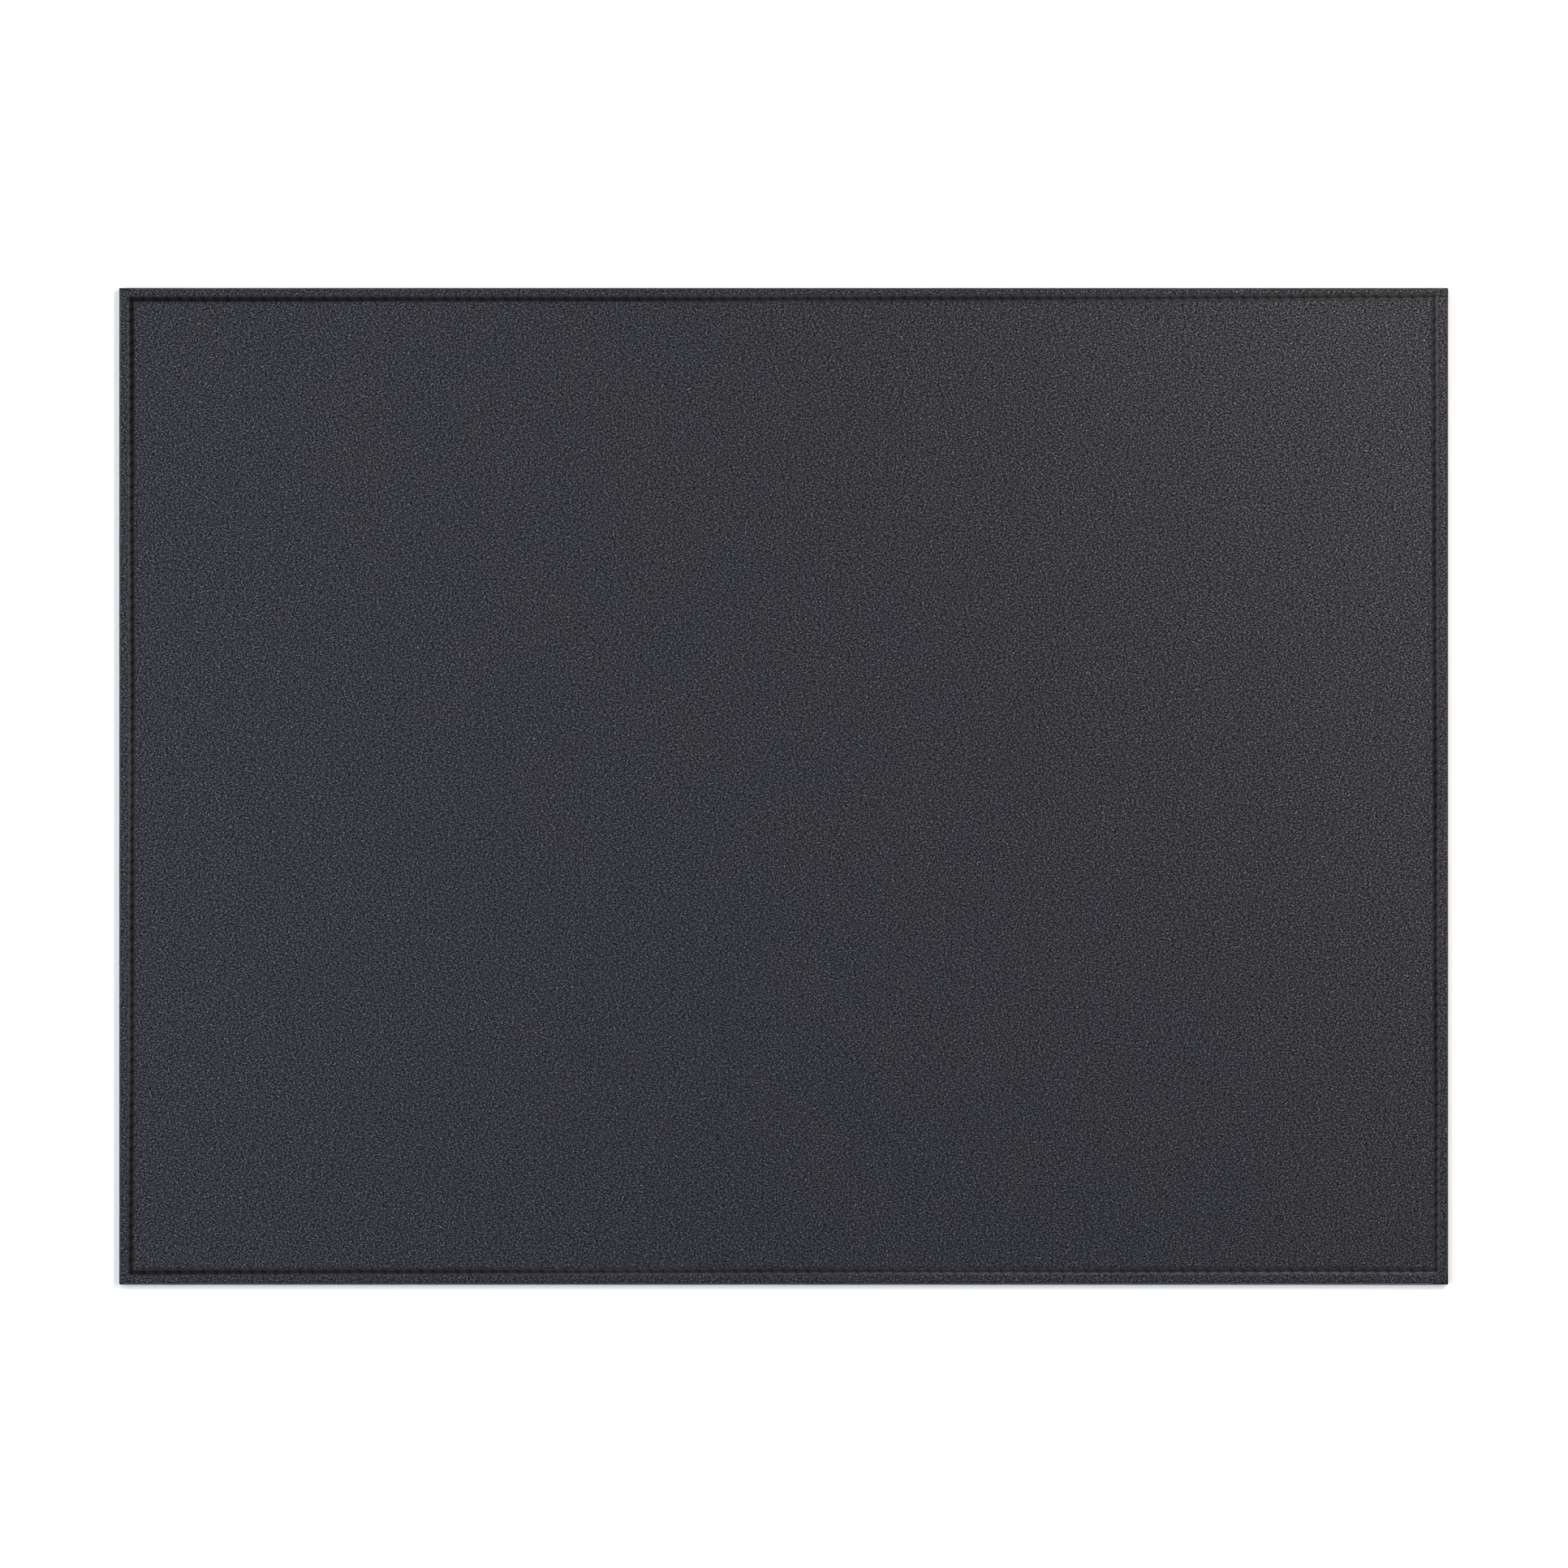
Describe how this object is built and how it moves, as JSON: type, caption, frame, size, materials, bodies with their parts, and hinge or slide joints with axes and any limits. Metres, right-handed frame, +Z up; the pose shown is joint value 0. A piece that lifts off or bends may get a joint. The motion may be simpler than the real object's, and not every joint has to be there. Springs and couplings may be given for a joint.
{
  "type": "desk mat",
  "caption": "Rectangular black grained leather desk mat with square corners, a sunk stitched border close to its sealed cut edge, and a felt underside.",
  "frame": {"origin": "middle of the underside, where the mat rests on the desk", "axes": "+X along the long side, +Y towards the back of the desk, +Z up out of the leather"},
  "size_m": [0.6096, 0.4572, 0.0049],
  "materials": {
    "grained_leather": "satin",
    "foam": "matte",
    "fibreboard": "matte",
    "felt": "matte",
    "thread": "satin",
    "edge_paint": "satin"
  },
  "bodies": {
    "root": {"top_cover": "grained_leather", "foam_interlining": "foam", "stiffener_board": "fibreboard", "backing_sheet": "felt", "needle_thread": "thread", "bobbin_thread": "thread", "edge_coat": "edge_paint"}
  },
  "joints": []
}
